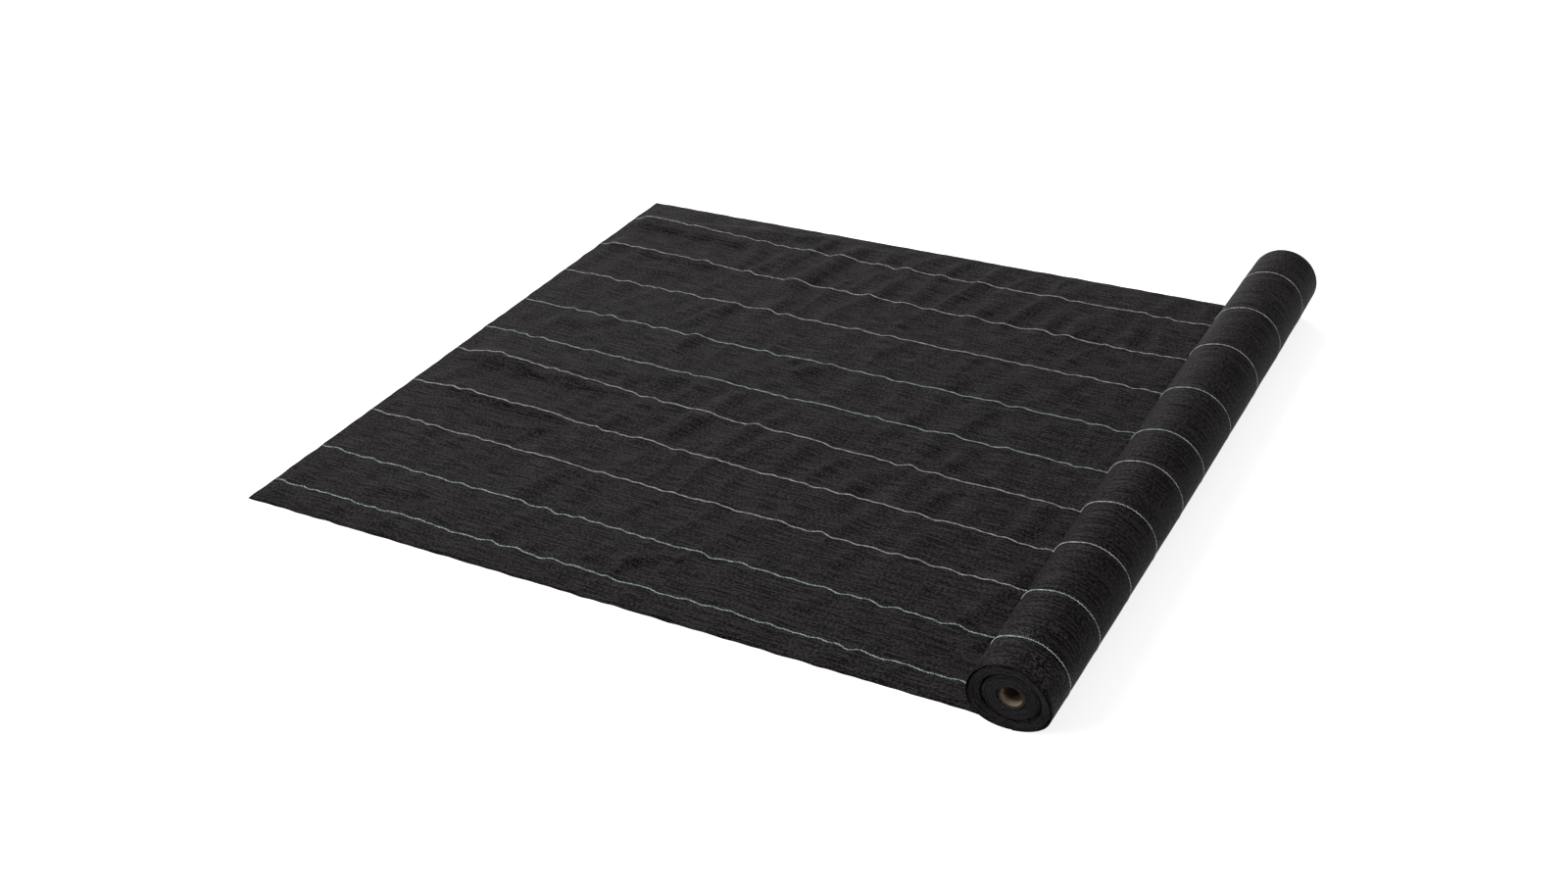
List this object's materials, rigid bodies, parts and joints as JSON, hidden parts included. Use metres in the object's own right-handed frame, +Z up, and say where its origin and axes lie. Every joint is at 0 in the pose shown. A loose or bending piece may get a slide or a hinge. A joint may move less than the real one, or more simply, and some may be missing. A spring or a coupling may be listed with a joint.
{
  "type": "roll of weed control sheet",
  "caption": "Black woven ground-cover sheet with pale tracer yarns, laid flat for about a metre and wound on a cardboard core that rolls it up.",
  "frame": {"origin": "on the ground, under the middle of the whole part's box", "axes": "+X along the sheet from its free edge to the roll, +Y across the sheet, +Z up from the ground"},
  "size_m": [1.1088, 1.043, 0.0963],
  "materials": {
    "woven_black": "woven tape fabric, slight sheen",
    "tracer_green": "twisted yarn, matte",
    "tracer_white": "twisted yarn, matte",
    "cardboard": "spiral-wound, matte",
    "paper_tape": "matte"
  },
  "bodies": {
    "laid": {"laid_sheet": "woven_black", "laid_tracer_01": "tracer_green", "laid_tracer_02": "tracer_green", "laid_tracer_03": "tracer_white", "laid_tracer_04": "tracer_white", "laid_tracer_05": "tracer_white", "laid_tracer_06": "tracer_green", "laid_tracer_07": "tracer_green", "laid_tracer_08": "tracer_white", "laid_tracer_09": "tracer_white", "laid_tracer_10": "tracer_white"},
    "lead": {"lead_in_sheet": "woven_black"},
    "roll": {"wound_sheet": "woven_black", "core_tube": "cardboard", "start_tape": "paper_tape", "wound_tracer_01": "tracer_green", "wound_tracer_02": "tracer_green", "wound_tracer_03": "tracer_white", "wound_tracer_04": "tracer_white", "wound_tracer_05": "tracer_white", "wound_tracer_06": "tracer_green", "wound_tracer_07": "tracer_green", "wound_tracer_08": "tracer_white", "wound_tracer_09": "tracer_white", "wound_tracer_10": "tracer_white"}
  },
  "joints": [
    {"name": "roll_travel", "type": "slide", "parent": "laid", "child": "lead", "axis": [1, 0, 0], "range_m": [-0.9085, 0], "deforming": ["laid_sheet", "laid_tracer_01", "laid_tracer_02", "laid_tracer_03", "laid_tracer_04", "laid_tracer_05", "laid_tracer_06", "laid_tracer_07", "laid_tracer_08", "laid_tracer_09", "laid_tracer_10"]},
    {"name": "roll_spin", "type": "hinge", "parent": "lead", "child": "roll", "pos_m": [0.5064, 0, 0.049], "axis": [0, 1, 0], "range_deg": [-1081, 1]}
  ],
  "couplings": [
    {"joint": "roll_spin", "follows": "roll_travel", "rad_per_m": 20.747}
  ]
}
